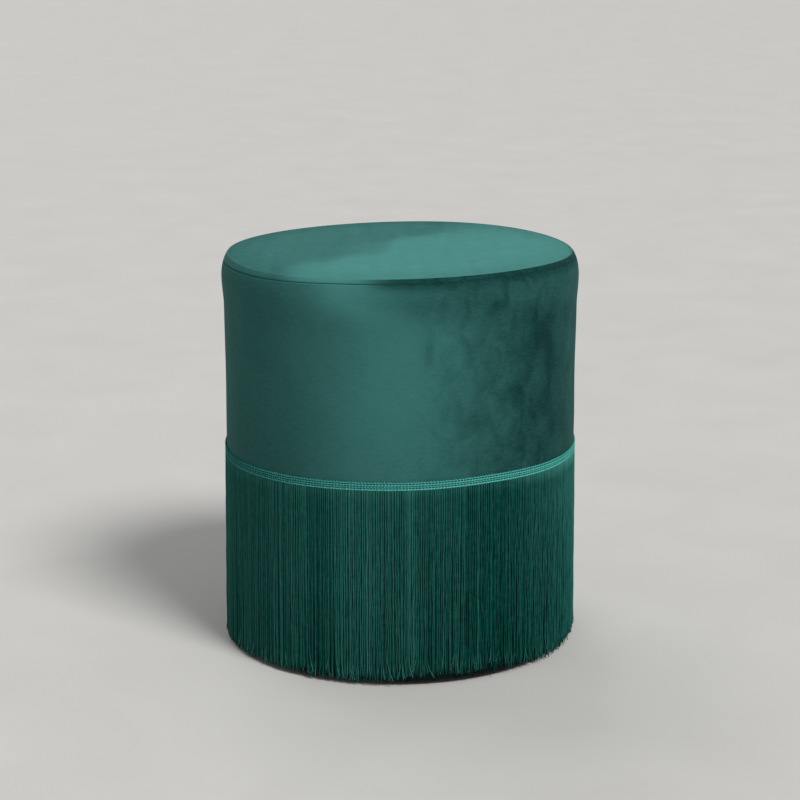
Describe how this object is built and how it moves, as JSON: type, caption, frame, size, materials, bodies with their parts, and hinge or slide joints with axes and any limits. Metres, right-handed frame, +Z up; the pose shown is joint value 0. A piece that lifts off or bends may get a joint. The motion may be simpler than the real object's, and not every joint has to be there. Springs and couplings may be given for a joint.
{
  "type": "accent stool",
  "caption": "Round upholstered accent stool: a velvet drum with a padded seat, a sewn rim and a long straight thread fringe under a braided heading, to sit on or to rest the feet on.",
  "frame": {"origin": "on the floor under the middle of the seat", "axes": "+Z up from the floor along the drum's axis; +Y towards the back, where the drum's joint and the cover's closing seam are; -Y faces the viewer of the picture"},
  "size_m": [0.3842, 0.3842, 0.422],
  "materials": {
    "velvet": "emerald velvet with a short, slightly crushed nap",
    "fringe_yarn": "dark emerald rayon yarn, loosely twisted",
    "braid_yarn": "bright emerald braided yarn",
    "sewing_thread": "dark green sewing thread",
    "plywood": "raw plywood",
    "pine": "planed, unfinished",
    "hardboard": "raw hardboard",
    "foam": "open-cell polyurethane foam",
    "wadding": "white polyester wadding",
    "dust_cloth": "black spunbond cloth",
    "black_plastic": "moulded black polypropylene",
    "steel": "zinc-plated steel"
  },
  "bodies": {
    "root": {"seat_board": "plywood", "base_board": "plywood", "upright_1": "pine", "upright_2": "pine", "upright_3": "pine", "upright_4": "pine", "upright_5": "pine", "upright_6": "pine", "seat_board_screw_1": "steel", "seat_board_screw_2": "steel", "seat_board_screw_3": "steel", "seat_board_screw_4": "steel", "seat_board_screw_5": "steel", "seat_board_screw_6": "steel", "base_board_screw_1": "steel", "base_board_screw_2": "steel", "base_board_screw_3": "steel", "base_board_screw_4": "steel", "base_board_screw_5": "steel", "base_board_screw_6": "steel", "drum_wall": "hardboard", "drum_wall_staple_1": "steel", "drum_wall_staple_2": "steel", "drum_wall_staple_3": "steel", "drum_wall_staple_4": "steel", "drum_wall_staple_5": "steel", "drum_wall_staple_6": "steel", "seat_foam": "foam", "seat_wadding": "wadding", "side_foam": "foam", "velvet_top_panel": "velvet", "velvet_side_panel": "velvet", "top_stitch": "sewing_thread", "fringe_heading": "braid_yarn", "fringe_threads": "fringe_yarn", "dust_cover": "dust_cloth", "glide_1": "black_plastic", "glide_2": "black_plastic", "glide_3": "black_plastic", "glide_4": "black_plastic", "glide_5": "black_plastic", "glide_6": "black_plastic", "glide_screw_1": "steel", "glide_screw_2": "steel", "glide_screw_3": "steel", "glide_screw_4": "steel", "glide_screw_5": "steel", "glide_screw_6": "steel", "hem_staple_1": "steel", "hem_staple_2": "steel", "hem_staple_3": "steel", "hem_staple_4": "steel", "hem_staple_5": "steel", "hem_staple_6": "steel", "hem_staple_7": "steel", "hem_staple_8": "steel", "hem_staple_9": "steel", "hem_staple_10": "steel", "hem_staple_11": "steel", "hem_staple_12": "steel"}
  },
  "joints": []
}
